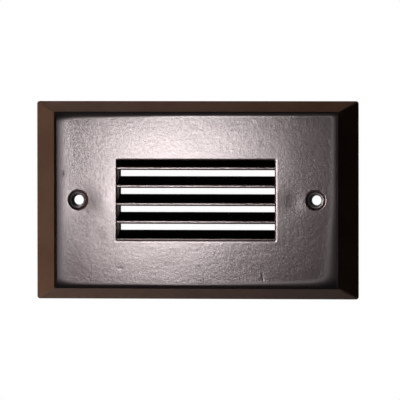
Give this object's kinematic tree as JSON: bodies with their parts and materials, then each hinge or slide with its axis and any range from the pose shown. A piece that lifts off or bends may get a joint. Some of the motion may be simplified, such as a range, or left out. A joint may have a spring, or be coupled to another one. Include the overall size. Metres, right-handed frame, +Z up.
{
  "type": "step light",
  "caption": "Louvred rectangular step light with a bevelled bronze faceplate, frosted lens, swing-down lamp tray and pull-out wedge-base lamp.",
  "frame": {"origin": "midway between the two plate-screw holes, on the faceplate's back face", "axes": "+X right along the plate, seen from the front, +Y into the wall, +Z up"},
  "size_m": [0.1126, 0.0529, 0.0688],
  "materials": {
    "bronze_cast": "cast aluminium with a textured dark bronze coat",
    "foam_rubber": "matt black rubber",
    "silicone": "translucent grey silicone",
    "frosted_glass": "frosted on the inner face",
    "zinc_plated_steel": "bright zinc plate",
    "screw_steel": "plain stainless",
    "green_screw": "green earth screw",
    "rivet_steel": "satin",
    "white_enamel": "gloss white reflector paint",
    "holder_moulding": "matt cream moulding",
    "contact_brass": "spring brass",
    "brass_bar": "turned brass",
    "block_moulding": "matt black moulding",
    "lead_black": "insulation",
    "lead_white": "insulation",
    "bare_copper": "bare stranded copper",
    "clear_glass": "clear",
    "contact_wire": "drawn nickel wire",
    "tungsten": "drawn tungsten"
  },
  "bodies": {
    "housing": {"faceplate": "bronze_cast", "wall_gasket": "foam_rubber", "lens_seal": "silicone", "lens_glass": "frosted_glass", "chassis": "zinc_plated_steel", "chassis_screws": "screw_steel", "lock_washers": "screw_steel", "ground_washer": "brass_bar", "ground_screw": "green_screw", "pivot_rivets": "rivet_steel"},
    "tray": {"lamp_tray": "white_enamel", "lamp_socket": "holder_moulding", "socket_contacts": "contact_brass", "socket_rivets": "rivet_steel", "tray_grommet": "foam_rubber", "terminal_block": "block_moulding", "terminal_inserts": "brass_bar", "terminal_screws": "screw_steel", "block_screw": "screw_steel", "block_nut": "screw_steel", "socket_lead_lower": "lead_black", "socket_lead_upper": "lead_white", "lead_ends": "bare_copper"},
    "lamp": {"lamp_glass": "clear_glass", "lamp_contacts": "contact_wire", "lamp_mount": "contact_wire", "lamp_filament": "tungsten"}
  },
  "joints": [
    {"name": "tray_swing", "type": "hinge", "parent": "housing", "child": "tray", "pos_m": [0, 0.0179, -0.0127], "axis": [-1, 0, 0], "range_deg": [0, 90]},
    {"name": "lamp_pull", "type": "slide", "parent": "tray", "child": "lamp", "axis": [1, 0, 0], "range_m": [0, 0.009]}
  ]
}
